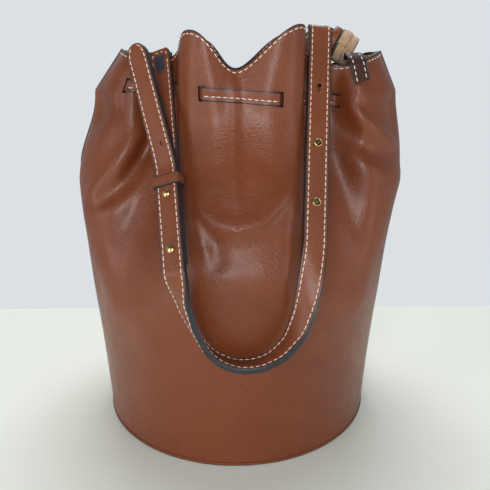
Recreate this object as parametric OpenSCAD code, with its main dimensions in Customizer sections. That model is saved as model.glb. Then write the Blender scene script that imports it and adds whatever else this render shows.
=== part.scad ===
// Gathered leather bucket bag: round base, two side panels, a flat drawstring
// and an adjustable shoulder strap that hangs in front. Front is -Y, up is +Z,
// and the origin is the middle of the base where it rests.

/* [Body] */
// Diameter of the round base
base_d = 260; // [220:1:300]
// Largest diameter of the body
belly_d = 296; // [250:1:340]
// Height of the largest diameter
belly_z = 232; // [200:1:255]
// Height of the drawstring
neck_z = 307; // [285:1:360]
// Width of the gathered neck at the drawstring
neck_w = 270; // [225:1:315]
// Depth of the gathered neck at the drawstring, front to back
neck_depth = 186; // [160:1:215]
// Width of the mouth's edge
rim_w = 228; // [195:1:265]
// Depth of the mouth's edge, front to back
rim_depth = 180; // [155:1:210]
// Height of the mouth's highest fold above the drawstring
rim_rise = 55; // [46:1:65]

/* [Leather] */
// Thickness of the body leather
leather_t = 1.8; // [1.4:0.1:2.4]
// Thickness of the lining
lining_t = 0.8; // [0.5:0.1:1.2]
// Thickness of the leather facing inside the mouth
facing_t = 1.2; // [0.8:0.1:1.6]
// How far the facing reaches below the drawstring
facing_drop = 26; // [20:1:36]
// How far the raised side seams stand out
seam_out = 3; // [2:0.1:4]
// Thickness of a raised side seam
seam_t = 3.2; // [2.4:0.1:4]

/* [Base] */
// Thickness of the base leather
base_t = 2.2; // [1.8:0.1:3]
// Height of the welt round the base
welt_h = 3; // [2.8:0.1:4]
// Radial width of the welt
welt_w = 3.6; // [3:0.1:5]
// Thickness of the stiff board in the base
board_t = 2; // [1.5:0.1:3]

/* [Drawstring] */
// Width of the flat drawstring
cord_w = 10; // [8:0.5:12]
// Thickness of the drawstring
cord_t = 2; // [1.6:0.1:2.4]

/* [Shoulder strap] */
// Width of the shoulder strap
strap_w = 19; // [15:0.5:22]
// Thickness of each of the strap's two layers
layer_t = 2.3; // [1.5:0.1:2.4]
// Thickness of the chape under the strap's end
chape_t = 2.2; // [1.8:0.1:2.6]
// Height of the bottom of the hanging strap
strap_bottom_z = 107; // [85:1:130]
// Width of the keeper along the strap
keeper_w = 9; // [7:0.5:11]
// Thickness of the keeper's leather
keeper_t = 1.6; // [1.2:0.1:2]
// Way that the keeper can slide up the strap
keeper_travel = 6; // [4:0.5:7]
// Width of the short tail under the knot
tail_w = 13; // [10:0.5:16]

/* [Hardware] */
// Diameter of a domed stud head
stud_d = 6; // [5:0.1:7]
// Diameter of a stud's post
post_d = 2.6; // [2:0.1:3]
// Diameter of a ring stud
ring_d = 7; // [6:0.1:8]
// Distance between neighbouring studs and keyholes on the left arm
stud_pitch = 44; // [38:1:48]
// Distance between neighbouring ring studs and keyholes on the right arm
ring_pitch = 48; // [38:1:50]

/* [Hidden] */

brown = "sienna";
dark_edge = "#22262c";
tan_suede = "#c79a6b";
navy = "#2b3648";
brass = "gold";

base_r = base_d / 2;
belly_r = belly_d / 2;
fit_gap = 0.3;          // between soft pieces that lie on each other
glue_gap = 0.2;         // between layers that are glued or sewn flat
slot_w = 6.5;           // width of each drawstring slot along the wall
slot_h = cord_w + 3;
panel_z0 = welt_h + glue_gap;
neck_shift = 9;         // the gathered neck leans to the right
rim_shift = 14;
cord_slope = .07;       // the row of slots drops to the right

// The outline is measured in 32 equal steps of leather, clockwise from the
// right side seam: step 8 is the middle of the front and step 16 the left seam.
// The back mirrors the front. Points are shares of half the width and depth.
steps = 32;
neck_line = [[1, 0], [.98, -.29], [.875, -.54], [.70, -.69], [.52, -.50],
             [.33, -.58], [.32, -.86], [.16, -1], [-.04, -.97], [-.24, -.99],
             [-.40, -.84], [-.43, -.54], [-.586, -.45], [-.727, -.60],
             [-.875, -.54], [-.98, -.29], [-1, 0]];
rim_line = [[1, 0], [.97, -.22], [.88, -.44], [.74, -.60], [.58, -.56],
            [.36, -.62], [.34, -.90], [.186, -1.02], [-.124, -.93], [-.345, -1],
            [-.478, -.88], [-.558, -.58], [-.70, -.47], [-.823, -.52],
            [-.93, -.40], [-.98, -.18], [-1, 0]];
// Height of the rim above the drawstring, as a share of rim_rise
rise_line = [.62, .62, .55, .46, .42, .60, .94, .84, .36, .80, .86, .58, .44,
             .51, .60, .64, .64];
// Height where each fold starts, as a share of neck_z
fold_line = [.78, .74, .62, .47, .38, .38, .43, .50, .54, .50, .43, .38, .38,
             .47, .62, .74, .78];
// Middles of the drawstring's slots, in steps; it runs outside from the first
// of each pair to the second
slot_pairs = [[3.8, 5.6], [6.87, 9.12], [10.8, 13.25],
              [18.5, 21.2], [22.88, 25.13], [26.4, 28.2]];

function lerp(a, b, t) = a + (b - a) * t;
function ease(t) = let (u = min(1, max(0, t))) u * u * (3 - 2 * u);
function unit(v) = v / norm(v);
function spline(a, b, c, d, t) =
    (2 * b + (c - a) * t + (2 * a - 5 * b + 4 * c - d) * t * t
     + (3 * b - a - 3 * c + d) * t * t * t) / 2;
function wrap(k) = (k % steps + steps) % steps;
function mirrored(line, i) = let (k = wrap(i)) k <= 16 ? line[k]
    : is_list(line[steps - k]) ? [line[steps - k].x, -line[steps - k].y]
    : line[steps - k];
function along(line, k) = let (i = floor(k))
    spline(mirrored(line, i - 1), mirrored(line, i), mirrored(line, i + 1),
           mirrored(line, i + 2), k - i);

function neck_at(k) = let (p = along(neck_line, k))
    [neck_shift + p.x * neck_w / 2, p.y * neck_depth / 2];
function rim_at(k) = let (p = along(rim_line, k))
    [rim_shift + p.x * rim_w / 2, p.y * rim_depth / 2];
function rim_z(k) = neck_z + along(rise_line, k) * rim_rise;
// Height of the drawstring's middle
function cord_z(k) = neck_z - cord_slope * neck_at(k).x;
function body_r(z) = lerp(base_r, belly_r, pow(min(1, max(0, z / belly_z)), 1.2));
// Outer face of the body without its folds; it leans towards the neck
function round_wall(k, z) = body_r(z) * [cos(k * 360 / steps), -sin(k * 360 / steps)]
    + [neck_shift * pow(z / neck_z, 4), 0];
// Outer face of the leather at step k and height z
function wall_mid(k, z) = z > neck_z
    ? lerp(neck_at(k), rim_at(k), (z - neck_z) / (rim_z(k) - neck_z))
    : let (start = along(fold_line, k) * neck_z)
      lerp(round_wall(k, z), neck_at(k), ease((z - start) / (neck_z - start)));
function wall_out(k, z) = let (d = wall_mid(k + .05, z) - wall_mid(k - .05, z))
    unit([-d.y, d.x]);
function wall(k, z, off = 0) = let (p = wall_mid(k, z) + off * wall_out(k, z))
    [p.x, p.y, z];
// How far forward the wall reaches at x and height z, on the front half
function front_y(x, z) = min([for (k = [1:.25:15])
    let (a = wall_mid(k, z), b = wall_mid(k + .25, z))
    if ((a.x - x) * (b.x - x) <= 0) lerp(a.y, b.y, (x - a.x) / (b.x - a.x))]);

// Closed solid between two sheets of points, with a wall at each open edge.
// holes lists the cells [column, row] that have no leather.
module sheet(outer, inner, closed, holes = []) {
    cols = len(outer);
    rows = len(outer[0]);
    last = closed ? cols : cols - 1;
    points = [for (c = outer) each c, for (c = inner) each c];
    o = function (i, j) (i % cols) * rows + j;
    n = cols * rows;
    full = function (i, j) (closed || (i >= 0 && i < last)) && j >= 0
        && j < rows - 1 && len([for (h = holes) if (h == [(i + last) % last, j]) h]) == 0;
    quad = function (a, b, c, d) [[a, b, c], [a, c, d]];
    faces = [for (i = [0:last - 1], j = [0:rows - 2]) if (full(i, j)) each [
        each quad(o(i, j), o(i + 1, j), o(i + 1, j + 1), o(i, j + 1)),
        each let (q = quad(o(i, j), o(i + 1, j), o(i + 1, j + 1), o(i, j + 1)))
            [for (t = q) [for (v = [2, 1, 0]) n + t[v]]],
        if (!full(i, j - 1)) each quad(o(i, j), n + o(i, j), n + o(i + 1, j), o(i + 1, j)),
        if (!full(i, j + 1))
            each quad(o(i, j + 1), o(i + 1, j + 1), n + o(i + 1, j + 1), n + o(i, j + 1)),
        if (!full(i - 1, j)) each quad(o(i, j), o(i, j + 1), n + o(i, j + 1), n + o(i, j)),
        if (!full(i + 1, j))
            each quad(o(i + 1, j), n + o(i + 1, j), n + o(i + 1, j + 1), o(i + 1, j + 1))
    ]];
    polyhedron(points, faces);
}

// Solid through a row of rings that all have the same number of points
module loft(rings, flip = false) {
    n = len(rings[0]);
    m = len(rings);
    faces = [[for (i = [0:n - 1]) i], [for (i = [n - 1:-1:0]) (m - 1) * n + i],
             for (r = [0:m - 2], i = [0:n - 1]) each
             [[r * n + i, (r + 1) * n + i, (r + 1) * n + (i + 1) % n],
              [r * n + i, (r + 1) * n + (i + 1) % n, r * n + (i + 1) % n]]];
    polyhedron([for (r = rings) each r],
               flip ? [for (f = faces) [for (i = [len(f) - 1:-1:0]) f[i]]] : faces);
}

slot_half = slot_w / 2 / 27;   // half a slot, in steps of about 27 mm
slot_mids = [for (p = slot_pairs) each p];
// Columns between two steps, with a line at each edge of each slot
function cuts(a, b) = [a, for (s = slot_mids) if (s > a && s < b)
    each [s - slot_half, s + slot_half], b];
function columns(a, b) = let (c = cuts(a, b)) [for (i = [0:len(c) - 2])
    let (n = ceil((c[i + 1] - c[i]) * 2.6)) each
    [for (j = [0:n - 1]) lerp(c[i], c[i + 1], j / n)], b];
function slot_columns(ks) = [for (i = [0:len(ks) - 2])
    let (m = (ks[i] + ks[i + 1]) / 2)
    if (min([for (s = slot_mids) abs(s - m)]) < slot_half / 2) i];

// Heights of the leather's rows of points: the lining covers those up to the
// facing, and the facing those above it
body_levels = [0, .09, .21, .35, .48, .59, .69, .78, .86, .93, 1];
function lining_rows(k) = [for (f = body_levels)
    lerp(panel_z0, cord_z(k) - facing_drop, f)];
function facing_rows(k) = let (z = cord_z(k), hi = z + slot_h / 2) [z - facing_drop,
    z - (facing_drop + slot_h / 2) / 2, z - slot_h / 2, hi, lerp(hi, rim_z(k), .5), rim_z(k)];
facing_slot_row = 2;
function panel_rows(k) = concat(lining_rows(k),
    [for (i = [1:len(facing_rows(k)) - 1]) facing_rows(k)[i]]);
slot_row = len(body_levels) - 1 + facing_slot_row;
seam_steps = (seam_t / 2 + glue_gap) / 16;   // a step is 16 mm at the pinched rim
front_columns = columns(seam_steps, 16 - seam_steps);
back_columns = columns(16 + seam_steps, 32 - seam_steps);

module wall_panel(ks) {
    color(brown) sheet([for (k = ks) [for (z = panel_rows(k)) wall(k, z)]],
        [for (k = ks) [for (z = panel_rows(k)) wall(k, z, -leather_t)]],
        false, [for (i = slot_columns(ks)) [i, slot_row]]);
}
module front_panel() { wall_panel(front_columns); }
module back_panel() { wall_panel(back_columns); }

// The two panel edges stand out side by side along each seam
module side_seam(k) {
    side = k == 0 ? 1 : -1;
    color(dark_edge) loft([for (z = panel_rows(k)) let (x = wall_mid(k, z).x)
        [for (c = [[-leather_t / 2, -1], [seam_out, -1], [seam_out, 1], [-leather_t / 2, 1]])
         [x + side * c.x, side * c.y * seam_t / 2, z]]]);
}
module right_side_seam() { side_seam(0); }
module left_side_seam() { side_seam(16); }

facing_out = leather_t + glue_gap;
facing_in = facing_out + facing_t;
all_columns = concat(front_columns, back_columns);
module mouth_facing() {
    color(brown) sheet(
        [for (k = all_columns) [for (z = facing_rows(k)) wall(k, z, -facing_out)]],
        [for (k = all_columns) [for (z = facing_rows(k)) wall(k, z, -facing_in)]],
        true, [for (i = slot_columns(all_columns)) [i, facing_slot_row]]);
}

lining_out = leather_t + glue_gap;
lining_in = lining_out + lining_t;
lining_stop = [0, 0, glue_gap];   // the lining ends just under the facing
function lining_side(k, off) = let (rows = lining_rows(k), n = len(rows) - 1)
    [for (i = [0:n]) wall(k, rows[i], off) - (i == n ? lining_stop : [0, 0, 0])];
module body_lining() {
    color("dimgray") sheet([for (k = all_columns) lining_side(k, -lining_out)],
                           [for (k = all_columns) lining_side(k, -lining_in)], true);
}

module base_panel() {
    color(brown) cylinder(r = base_r + .8 - welt_w - glue_gap, h = base_t, $fn = 96);
}
module base_welt() {
    color(dark_edge) rotate_extrude($fn = 96)
        translate([base_r + .8 - welt_w, 0]) square([welt_w, welt_h]);
}
board_r = base_r - lining_in - 2 * fit_gap;
board_z = max(base_t, welt_h) + glue_gap;
module base_board() {
    color("tan") translate([0, 0, board_z])
        cylinder(r = board_r, h = board_t, $fn = 96);
}
module base_lining() {
    color("dimgray") translate([0, 0, board_z + board_t + glue_gap])
        cylinder(r = board_r, h = lining_t, $fn = 96);
}

// The drawstring lies on the wall outside between the slots of a pair, and
// inside the facing everywhere else
cord_out = cord_t / 2 + fit_gap;
cord_in = facing_in + cord_t / 2 + fit_gap;
pass_half = .07;       // half of the way, in steps, in which it passes a slot
function cord_steps(p, q) = [p, for (k = [for (t = [0, steps]) each
    [for (c = all_columns) c + t]]) if (k > p + .1 && k < q - .1) k, q];
// Steps and stand-offs of the drawstring's route
cord_stops = [for (i = [0:len(slot_pairs) - 1]) let (
        pair = slot_pairs[i],
        next = i + 1 < len(slot_pairs) ? slot_pairs[i + 1][0] : slot_pairs[0][0] + steps)
    each concat([for (k = cord_steps(pair[0] + pass_half, pair[1] - pass_half)) [k, cord_out]],
                [for (k = cord_steps(pair[1] + pass_half, next - pass_half)) [k, -cord_in]])];
// A point of the drawstring, this far above its middle; it leans as the wall does
function cord_point(stop, up) = let (z = cord_z(stop[0]))
    lerp(wall(stop[0], z - slot_h / 2, stop[1]), wall(stop[0], z + slot_h / 2, stop[1]),
         .5 + up / slot_h);
module drawstring() {
    n = len(cord_stops);
    mids = [for (c = cord_stops) cord_point(c, 0)];
    half = [for (i = [0:n - 1]) let (d = unit(mids[(i + 1) % n] - mids[(i + n - 1) % n]))
            cord_t / 2 * unit([-d.y, d.x, 0])];
    edges = [-cord_w / 2, cord_w / 2];
    color(brown) sheet(
        [for (i = [0:n - 1]) [for (up = edges) cord_point(cord_stops[i], up) + half[i]]],
        [for (i = [0:n - 1]) [for (up = edges) cord_point(cord_stops[i], up) - half[i]]],
        true);
}

// Shoulder strap. Each arm is straight from its bend at the mouth to below the
// studs, and the loop between them is free.
arm_gap = 4;            // from the shoulder of the bag to the back of an arm
strap_half = layer_t + glue_gap / 2;
stack = strap_half + fit_gap + chape_t / 2;   // strap's middle to the chape's
shoulder_z = neck_z - 64;
left_x = rim_at(12).x + 3;
right_x = rim_at(4).x - 11;
left_pivot = [left_x, rim_at(12).y - 2, neck_z + 34];
right_pivot = [right_x, rim_at(4.5).y + 7, neck_z + 53];
// How far forward an arm's foot has to be for the arm to clear the wall
function foot_y(pivot, x, room) = min([for (z = [shoulder_z:12:pivot.z - 40], w = [-.5:.5:.5])
    let (t = (pivot.z - z) / (pivot.z - shoulder_z))
    pivot.y + (front_y(lerp(pivot.x, x, t) + w * strap_w, z) - room - pivot.y) / t]);
left_foot = let (x = left_x + 12) [x, foot_y(left_pivot, x, arm_gap + chape_t), shoulder_z];
right_foot = let (x = right_x - 7)
    [x, foot_y(right_pivot, x, arm_gap + strap_half), shoulder_z];
left_down = unit(left_foot - left_pivot);
right_down = unit(right_foot - right_pivot);
left_turn = 20;         // how far each arm's face turns out from the front
right_turn = 188;

// Outer face's direction for a strap that runs along t and is turned by a
function face_dir(t, a) = let (f = [0, -1, 0], v = unit(f - (f * t) * t))
    v * cos(a) + cross(t, v) * sin(a);
left_face = face_dir(left_down, left_turn);
right_face = face_dir(-right_down, right_turn);
// A point on an arm, this far down from its bend and off its middle
function on_left(d, off = 0) = left_pivot + left_down * d + left_face * off;
function on_right(d, off = 0) = right_pivot + right_down * d + right_face * off;

keeper_d = 119;         // down from the bend to the keeper's middle
left_stud_d = [for (i = [0, 1]) keeper_d + keeper_w / 2 + 6 + i * stud_pitch];
left_keyhole_d = left_stud_d[0] - stud_pitch;
right_keyhole_d = 53;
right_stud_d = [for (i = [1, 2]) right_keyhole_d + i * ring_pitch];
free_d = keeper_d - keeper_w / 2 - keeper_travel - 1.5;   // the end lifts off above this
arm_end = 192;          // down from the bend to where the free loop starts
tip_at = left_pivot + [-17, -18, 4];

loop_a = on_left(arm_end, stack);
loop_b = on_right(arm_end - 12);
loop_y = front_y(0, strap_bottom_z) - strap_w / 2 - 2.5;
// Route of the free loop: share of the way across, height and how far forward,
// and how far the outer face turns from the front towards the outside
loop_points = [[.05, .66, .55, 58], [.13, .36, .85, 72], [.235, .135, 1, 80],
               [.37, .025, 1, 84], [.51, 0, 1, 87], [.66, .05, 1, 93],
               [.80, .19, 1, 108], [.90, .41, .9, 136], [.96, .70, .6, 166]];
function loop_at(p) = [lerp(loop_a.x, loop_b.x, p[0]),
    lerp(lerp(loop_a.y, loop_b.y, p[0]), loop_y, p[2]),
    lerp(strap_bottom_z, lerp(loop_a.z, loop_b.z, p[0]), p[1])];
strap_stops = [
    each [for (f = [0, .35, .7, .97])
          [lerp(tip_at, on_left(free_d - 5, stack + .8), f), left_turn]],
    each [for (d = [free_d, keeper_d + 8, left_stud_d[1], arm_end])
          [on_left(d, stack), left_turn]],
    each [for (p = loop_points) [loop_at(p), p[3]]],
    each [for (d = [arm_end - 12, right_stud_d[1] - 4, 60, 3.5])
          [on_right(d), right_turn]]];
fine = 4;               // rings between two stops of the route
strap_line = [for (i = [0:len(strap_stops) - 2]) let (
        a = strap_stops[max(0, i - 1)], b = strap_stops[i], c = strap_stops[i + 1],
        d = strap_stops[min(len(strap_stops) - 1, i + 2)],
        curved = i > 6 && i < len(strap_stops) - 4) each
    [for (j = [0:curved ? fine - 1 : 0]) let (t = j / fine)
     [spline(a[0], b[0], c[0], d[0], t), lerp(b[1], c[1], ease(t))]],
    strap_stops[len(strap_stops) - 1]];
function strap_dir(i) = unit(strap_line[min(len(strap_line) - 1, i + 1)][0]
                             - strap_line[max(0, i - 1)][0]);
// Half width near the pointed tip, then full width
function strap_side(i) = i == 0 ? strap_w * .3 : strap_w / 2;
// One layer, from its side at the strap's middle to its outer side
module strap_layer(mid, out) {
    loft([for (i = [0:len(strap_line) - 1]) let (
            t = strap_dir(i), f = face_dir(t, strap_line[i][1]),
            w = cross(t, f) * strap_side(i), p = strap_line[i][0])
        [p + w + f * mid, p - w + f * mid, p - w + f * out, p + w + f * out]],
        flip = out < mid);
}
// Lies things along a face: +Z out of the face, +X down the arm
module on_face(at, down, face) {
    side = cross(face, down);
    multmatrix([[down.x, side.x, face.x, at.x], [down.y, side.y, face.y, at.y],
                [down.z, side.z, face.z, at.z], [0, 0, 0, 1]]) children();
}
module keyhole(r) {
    cylinder(r = r, h = 14, center = true, $fn = 32);
    translate([2.6, 0, 0]) cube([5.2, .6, 14], center = true);
}
hole_r = post_d / 2 + fit_gap;
module strap_holes() {
    on_face(on_left(left_keyhole_d, stack), left_down, left_face) keyhole(hole_r);
    for (d = left_stud_d)
        on_face(on_left(d, stack), left_down, left_face) keyhole(hole_r);
    on_face(on_right(right_keyhole_d), right_down, right_face) keyhole(hole_r);
    for (d = right_stud_d)
        on_face(on_right(d), right_down, right_face)
            cylinder(r = hole_r, h = 14, center = true, $fn = 32);
}
module strap_face_layer() {
    color(brown) difference() {
        strap_layer(glue_gap / 2, strap_half);
        strap_holes();
    }
}
module strap_back_layer() {
    color(brown) difference() {
        strap_layer(-glue_gap / 2, -strap_half);
        strap_holes();
    }
}

// The chape comes out of the mouth, bends over its edge and runs down behind
// the strap's end, which is buttoned to it
chape_len = left_stud_d[1] + 12;
knuckle_r = chape_t / 2;
module left_chape() {
    color(brown) on_face(left_pivot, left_down, left_face) difference() {
        union() {
            translate([0, -strap_w / 2, -chape_t / 2]) cube([chape_len, strap_w, chape_t]);
            rotate([90, 0, 0]) cylinder(r = knuckle_r, h = strap_w, center = true, $fn = 32);
        }
        for (d = left_stud_d) translate([d, 0, 0])
            cylinder(r = post_d / 2 + .05, h = 2 * chape_t, center = true, $fn = 32);
    }
}
patch_t = .8;
module chape_patch() {
    color(navy) on_face(left_pivot, left_down, left_face)
        translate([6, -4, chape_t / 2 + .05]) linear_extrude(patch_t)
            polygon([[0, 0], [12, 0], [15, 2], [16, 5], [14, 8], [0, 8]]);
}
// Rings of a flat strap that runs through a list of points; sides holds its
// width's direction at each point
function flat_rings(points, sides, width, t) = [for (i = [0:len(points) - 1]) let (
    d = unit(points[min(len(points) - 1, i + 1)] - points[max(0, i - 1)]),
    w = unit(sides[i] - (sides[i] * d) * d) * width / 2, f = unit(cross(d, w)) * t / 2)
    [points[i] + w + f, points[i] - w + f, points[i] - w - f, points[i] + w - f]];
function same_side(points, side) = [for (p = points) side];
anchor_in = facing_in + chape_t / 2 + fit_gap + .2;
anchor_foot = 18;       // how far an anchor is sewn down below the drawstring
// The sewn stretch of an anchor inside the mouth, from its foot to the rim
function anchor_points(x, k) = let (y = max(neck_at(k).y, wall_mid(k, neck_z - anchor_foot).y))
    [[x, y + anchor_in, neck_z - anchor_foot], [x, y + anchor_in, neck_z + 4],
     [x, rim_at(k).y + anchor_in + 1.5, rim_z(k) + 3]];
module left_anchor() {
    away = strap_w / 2 * sin(left_turn) + chape_t + .1;
    points = concat(anchor_points(left_x, 12),
        [left_pivot + [0, away + .6, -5], left_pivot + [0, away, -1]]);
    color(brown) loft(flat_rings(points, same_side(points, [1, 0, 0]), strap_w, chape_t));
}

// Leather loop round the strap and its chape, drawn at its lowest place
module keeper_loop() {
    lo = -chape_t / 2 - fit_gap;
    hi = stack + strap_half + fit_gap;
    color(brown) on_face(on_left(keeper_d), left_down, left_face)
        rotate([0, 90, 0]) linear_extrude(keeper_w, center = true) difference() {
            translate([-hi - keeper_t, -strap_w / 2 - fit_gap - keeper_t])
                square([hi - lo + 2 * keeper_t, strap_w + 2 * (fit_gap + keeper_t)]);
            translate([-hi, -strap_w / 2 - fit_gap])
                square([hi - lo, strap_w + 2 * fit_gap]);
        }
}

head_h = 1.9;
module left_stud_heads() {
    color(brass) for (d = left_stud_d)
        on_face(on_left(d, stack + strap_half), left_down, left_face) {
            post = chape_t + 2 * strap_half + fit_gap;
            translate([0, 0, -post]) cylinder(d = post_d, h = post + .3, $fn = 32);
            translate([0, 0, .2]) rotate_extrude($fn = 48) intersection() {
                translate([0, head_h - stud_d]) circle(r = stud_d, $fn = 96);
                square([stud_d / 2, head_h]);
            }
        }
}
module left_stud_bases() {
    color(brass) for (d = left_stud_d)
        on_face(on_left(d, -chape_t / 2 - .05), left_down, left_face)
            translate([0, 0, -1]) cylinder(d = stud_d + 1, h = 1, $fn = 48);
}
// Ring studs face the front on the right arm, where the strap shows its back
ring_h = 1.4;
module right_ring_studs() {
    color(brass) for (d = right_stud_d)
        on_face(on_right(d, -strap_half - .05), right_down, -right_face)
            rotate_extrude($fn = 48) difference() {
                translate([1.5, 0]) square([ring_d / 2 - 1.5, ring_h]);
                translate([ring_d / 2, ring_h]) rotate(45) square(.8, center = true);
            }
}
module right_stud_screws() {
    color(brass) for (d = right_stud_d)
        on_face(on_right(d), right_down, right_face)
            translate([0, 0, -strap_half - .6])
                cylinder(d = post_d, h = 2 * strap_half + .6, $fn = 32);
}
module right_stud_caps() {
    color(brass) for (d = right_stud_d)
        on_face(on_right(d, strap_half + .05), right_down, right_face)
            rotate_extrude($fn = 48) intersection() {
                translate([0, 1.2 - stud_d]) circle(r = stud_d, $fn = 96);
                square([stud_d / 2, 1.2]);
            }
}

// The strap's other end bends over, runs through a suede knot and ends in a
// short tail outside the mouth
knot_at = right_pivot + [19.5, 12.5, -15];
knot_dir = unit([.86, -.16, -.48]);
core_t = chape_t;
knot_bore = strap_w / 2 + .8;
knot_half = 11.4;       // from the knot's middle to the mouth of its bore
turn_r = strap_w / 2 + 1.5;
// Turns through this many degrees over its top, towards the knot
turn_end = 90 - atan2(-knot_dir.z, knot_dir.x);
turn_mid = knot_at - knot_half * knot_dir - turn_r * [cos(turn_end), 0, sin(turn_end)];
module right_anchor() {
    angles = [180, 150, 120, 90, turn_end];
    turn = [for (a = angles) turn_mid + [turn_r * cos(a), -3 * (a - turn_end) / 120,
                                         turn_r * sin(a)]];
    foot = anchor_points(turn[0].x, 4);
    points = concat(foot, turn, [knot_at + knot_half * knot_dir]);
    sides = concat(same_side(foot, [1, 0, 0]),
        [for (a = angles) [-cos(a), 0, -sin(a)]], [[-cos(turn_end), 0, -sin(turn_end)]]);
    color(brown) loft(flat_rings(points, sides, strap_w, core_t));
}
module strap_knot() {
    color(tan_suede) multmatrix(align(knot_at, knot_dir)) rotate_extrude($fn = 64) {
        for (band = [[-11, 2.6], [-3, 4.2], [5, 3.4]])
            translate([knot_bore, band[0]]) square([band[1], 7.6]);
        translate([knot_bore, -11]) square([1.4, 23.6]);
    }
}
// Turns +Z onto a direction and moves to a point
function align(at, z) = let (x = unit(cross([0, 1, 0], z)), y = cross(z, x))
    [[x.x, y.x, z.x, at.x], [x.y, y.y, z.y, at.y], [x.z, y.z, z.z, at.z], [0, 0, 0, 1]];
tail_root = knot_at + [7, -5.4 - knot_bore, -9.8];
tail_top = [rim_at(3).x - 4, rim_at(3).y - 5, rim_z(3) + 6];
tail_drop = 21;
module strap_tail() {
    out_y = min(wall_mid(3, rim_z(3) - tail_drop).y, rim_at(3).y) - 6;
    points = [tail_root, tail_top, [tail_top.x + 3, out_y, tail_top.z - 7],
              [tail_top.x + 7, out_y, tail_top.z - tail_drop]];
    color(brown) loft(flat_rings(points, same_side(points, [-1, .1, 0]), tail_w, core_t));
}

front_panel();
back_panel();
left_side_seam();
right_side_seam();
mouth_facing();
body_lining();
base_panel();
base_welt();
base_board();
base_lining();
drawstring();
strap_face_layer();
strap_back_layer();
left_chape();
left_anchor();
chape_patch();
keeper_loop();
left_stud_heads();
left_stud_bases();
right_ring_studs();
right_stud_screws();
right_stud_caps();
right_anchor();
strap_knot();
strap_tail();
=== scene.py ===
import math

import bpy
import numpy as np
from mathutils import Matrix, Vector


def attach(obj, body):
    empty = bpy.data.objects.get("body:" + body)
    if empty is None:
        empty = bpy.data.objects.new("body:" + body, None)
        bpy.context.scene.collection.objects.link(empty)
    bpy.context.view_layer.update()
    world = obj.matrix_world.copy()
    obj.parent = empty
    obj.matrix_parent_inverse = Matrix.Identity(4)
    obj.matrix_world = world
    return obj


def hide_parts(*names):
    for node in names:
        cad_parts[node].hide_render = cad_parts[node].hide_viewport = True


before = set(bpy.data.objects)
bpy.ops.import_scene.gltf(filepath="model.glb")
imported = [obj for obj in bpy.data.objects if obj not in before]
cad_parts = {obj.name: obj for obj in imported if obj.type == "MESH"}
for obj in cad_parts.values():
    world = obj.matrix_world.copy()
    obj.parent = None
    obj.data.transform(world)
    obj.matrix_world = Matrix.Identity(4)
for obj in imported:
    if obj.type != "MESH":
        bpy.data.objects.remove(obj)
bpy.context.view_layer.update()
rng = np.random.default_rng(7)

# ---------------------------------------------------------------- sizes, mm
BASE_R, BELLY_R, BELLY_Z = 130, 148, 232
NECK_Z, NECK_W, NECK_DEPTH, NECK_SHIFT = 307, 270, 186, 9
RIM_W, RIM_DEPTH, RIM_RISE, RIM_SHIFT = 228, 180, 55, 14
LEATHER_T, LINING_T, FACING_T, FACING_DROP = 1.8, .8, 1.2, 26
GAP, CORD_W, CORD_T, CORD_SLOPE = .2, 10, 2, .07
SLOT_W, SLOT_H = 6.2, 11.6
WELT_H, WELT_W = 3, 3.6
STRAP_W, LAYER_T, CHAPE_T = 19, 2.3, 2.2
STEPS = 32
STEP_MM = 28.5
PANEL_Z0 = WELT_H + GAP
STITCH_PITCH, STITCH_LEN, THREAD_R = 4.9, 4.2, .36

# Shares of half the width and depth at each step from the right seam, over the
# front, to the left seam; the back mirrors the front
NECK_LINE = [(1, 0), (.98, -.29), (.875, -.54), (.70, -.69), (.52, -.50),
             (.33, -.58), (.32, -.86), (.16, -1), (-.04, -.97), (-.24, -.99),
             (-.40, -.84), (-.43, -.54), (-.586, -.45), (-.727, -.60),
             (-.875, -.54), (-.98, -.29), (-1, 0)]
RIM_LINE = [(1, 0), (.97, -.22), (.88, -.44), (.74, -.60), (.58, -.56),
            (.36, -.62), (.34, -.90), (.186, -1.02), (-.124, -.93), (-.345, -1),
            (-.478, -.88), (-.558, -.58), (-.70, -.47), (-.823, -.52),
            (-.93, -.40), (-.98, -.18), (-1, 0)]
RISE_LINE = [.62, .62, .55, .46, .42, .60, .94, .84, .36, .80, .86, .58, .44,
             .51, .60, .64, .64]
FOLD_LINE = [.78, .74, .62, .47, .38, .38, .43, .50, .54, .50, .43, .38, .38,
             .47, .62, .74, .78]
SLOT_PAIRS = [(3.8, 5.6), (6.87, 9.12), (10.8, 13.25),
              (18.5, 21.2), (22.88, 25.13), (26.4, 28.2)]


def periodic(line):
    """All 32 steps of a line that the back mirrors."""
    a = np.array(line, float).reshape(17, -1)
    b = a[1:16][::-1].copy()
    if b.shape[1] == 2:
        b[:, 1] *= -1
    return np.concatenate([a, b])


NECK, RIM, RISE, FOLD = (periodic(x) for x in (NECK_LINE, RIM_LINE, RISE_LINE, FOLD_LINE))


def spline(a, b, c, d, t):
    return (2 * b + (c - a) * t + (2 * a - 5 * b + 4 * c - d) * t * t
            + (3 * b - a - 3 * c + d) * t ** 3) / 2


def along(line, k):
    k = np.asarray(k, float)
    i = np.floor(k).astype(int)
    return spline(*(line[(i + j) % STEPS] for j in (-1, 0, 1, 2)), (k - i)[..., None])


def ease(t):
    t = np.clip(t, 0, 1)
    return t * t * (3 - 2 * t)


def unit(v):
    v = np.asarray(v, float)
    return v / np.maximum(np.linalg.norm(v, axis=-1, keepdims=True), 1e-9)


def neck_at(k):
    p = along(NECK, k)
    return np.stack([NECK_SHIFT + p[..., 0] * NECK_W / 2, p[..., 1] * NECK_DEPTH / 2], -1)


def rim_at(k):
    p = along(RIM, k)
    return np.stack([RIM_SHIFT + p[..., 0] * RIM_W / 2, p[..., 1] * RIM_DEPTH / 2], -1)


def rim_z(k):
    return NECK_Z + along(RISE, k)[..., 0] * RIM_RISE


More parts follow.
